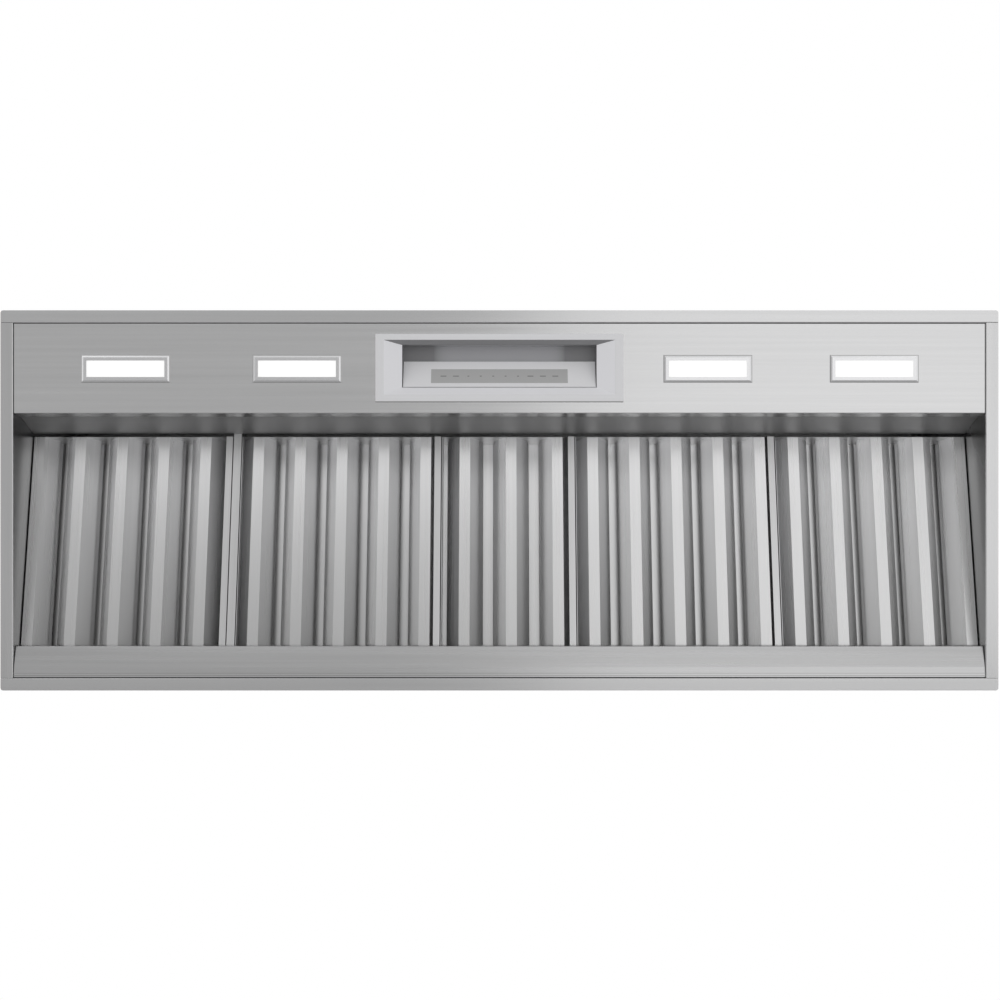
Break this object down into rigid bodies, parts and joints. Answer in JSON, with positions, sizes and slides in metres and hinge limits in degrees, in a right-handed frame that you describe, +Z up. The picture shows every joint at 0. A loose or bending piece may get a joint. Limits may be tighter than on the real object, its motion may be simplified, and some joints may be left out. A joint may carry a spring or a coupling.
{
  "type": "range hood insert",
  "caption": "Built-in stainless hood insert with a trim flange, a lamp and touch-control fascia, sloping lift-out baffle filters, an inner blower and a round duct collar with a damper.",
  "frame": {"origin": "centre of the trim flange's underside, the lowest face", "axes": "+X to the right seen from below with the lamps at the top, +Y from the lamps and controls (front) to the wall, +Z up into the cabinet"},
  "size_m": [1.483, 0.565, 0.4504],
  "materials": {
    "stainless_steel": "brushed",
    "galvanised_steel": "galvanised",
    "plated_steel": "zinc plated",
    "motor_paint": "satin black",
    "capacitor_case": "gloss",
    "control_plastic": "satin",
    "touch_film": "satin",
    "circuit_board": "matte",
    "dark_plastic": "matte",
    "lamp_bezel": "satin chrome",
    "lamp_lens": "frosted",
    "lamp_aluminium": "plain"
  },
  "bodies": {
    "housing": {"casing_front": "stainless_steel", "casing_rear": "stainless_steel", "casing_left": "stainless_steel", "casing_right": "stainless_steel", "top_panel": "stainless_steel", "top_screws": "plated_steel", "fascia_panel": "stainless_steel", "filter_header": "stainless_steel", "rear_sill": "stainless_steel", "grease_trough": "galvanised_steel", "filter_spacer": "stainless_steel", "control_pocket": "control_plastic", "control_face": "control_plastic", "touch_strip": "touch_film", "control_board": "circuit_board", "scroll_wrapper": "galvanised_steel", "scroll_side_left": "galvanised_steel", "scroll_side_right": "galvanised_steel", "blower_motor": "motor_paint", "motor_cradle": "galvanised_steel", "run_capacitor": "capacitor_case", "duct_adapter": "galvanised_steel", "damper_rod": "galvanised_steel", "junction_box": "galvanised_steel", "junction_cover": "galvanised_steel", "terminal_block": "dark_plastic", "led_driver": "dark_plastic", "lamp_1_bezel": "lamp_bezel", "lamp_1_lens": "lamp_lens", "lamp_1_module": "lamp_aluminium", "lamp_2_bezel": "lamp_bezel", "lamp_2_lens": "lamp_lens", "lamp_2_module": "lamp_aluminium", "lamp_3_bezel": "lamp_bezel", "lamp_3_lens": "lamp_lens", "lamp_3_module": "lamp_aluminium", "lamp_4_bezel": "lamp_bezel", "lamp_4_lens": "lamp_lens", "lamp_4_module": "lamp_aluminium"},
    "rotor": {"motor_shaft": "plated_steel", "blower_wheel_left": "galvanised_steel", "blower_wheel_right": "galvanised_steel"},
    "flap_front": {"damper_flap_front": "galvanised_steel"},
    "flap_rear": {"damper_flap_rear": "galvanised_steel"},
    "filter_1": {"filter_1_frame": "stainless_steel", "filter_1_front_baffles": "stainless_steel", "filter_1_rear_baffles": "stainless_steel"},
    "filter_2": {"filter_2_frame": "stainless_steel", "filter_2_front_baffles": "stainless_steel", "filter_2_rear_baffles": "stainless_steel"},
    "filter_3": {"filter_3_frame": "stainless_steel", "filter_3_front_baffles": "stainless_steel", "filter_3_rear_baffles": "stainless_steel"},
    "filter_4": {"filter_4_frame": "stainless_steel", "filter_4_front_baffles": "stainless_steel", "filter_4_rear_baffles": "stainless_steel"},
    "filter_5": {"filter_5_frame": "stainless_steel", "filter_5_front_baffles": "stainless_steel", "filter_5_rear_baffles": "stainless_steel"}
  },
  "joints": [
    {"name": "filter_1_tilt", "type": "hinge", "parent": "housing", "child": "filter_1", "pos_m": [-0.5674, 0.2174, 0.034], "axis": [1, 0, 0], "range_deg": [0, 60]},
    {"name": "filter_2_tilt", "type": "hinge", "parent": "housing", "child": "filter_2", "pos_m": [-0.2444, 0.2174, 0.034], "axis": [1, 0, 0], "range_deg": [0, 60]},
    {"name": "filter_3_tilt", "type": "hinge", "parent": "housing", "child": "filter_3", "pos_m": [0.0137, 0.2174, 0.034], "axis": [1, 0, 0], "range_deg": [0, 60]},
    {"name": "filter_4_tilt", "type": "hinge", "parent": "housing", "child": "filter_4", "pos_m": [0.2718, 0.2174, 0.034], "axis": [1, 0, 0], "range_deg": [0, 60]},
    {"name": "filter_5_tilt", "type": "hinge", "parent": "housing", "child": "filter_5", "pos_m": [0.5744, 0.2174, 0.034], "axis": [1, 0, 0], "range_deg": [0, 60]},
    {"name": "blower_spin", "type": "hinge", "parent": "housing", "child": "rotor", "pos_m": [0, 0.056, 0.23799], "axis": [-1, 0, 0], "continuous": true},
    {"name": "front_flap_swing", "type": "hinge", "parent": "housing", "child": "flap_front", "pos_m": [0, 0, 0.4279], "axis": [-1, 0, 0], "range_deg": [0, 78]},
    {"name": "rear_flap_swing", "type": "hinge", "parent": "housing", "child": "flap_rear", "pos_m": [0, 0, 0.4279], "axis": [1, 0, 0], "range_deg": [0, 78]}
  ]
}
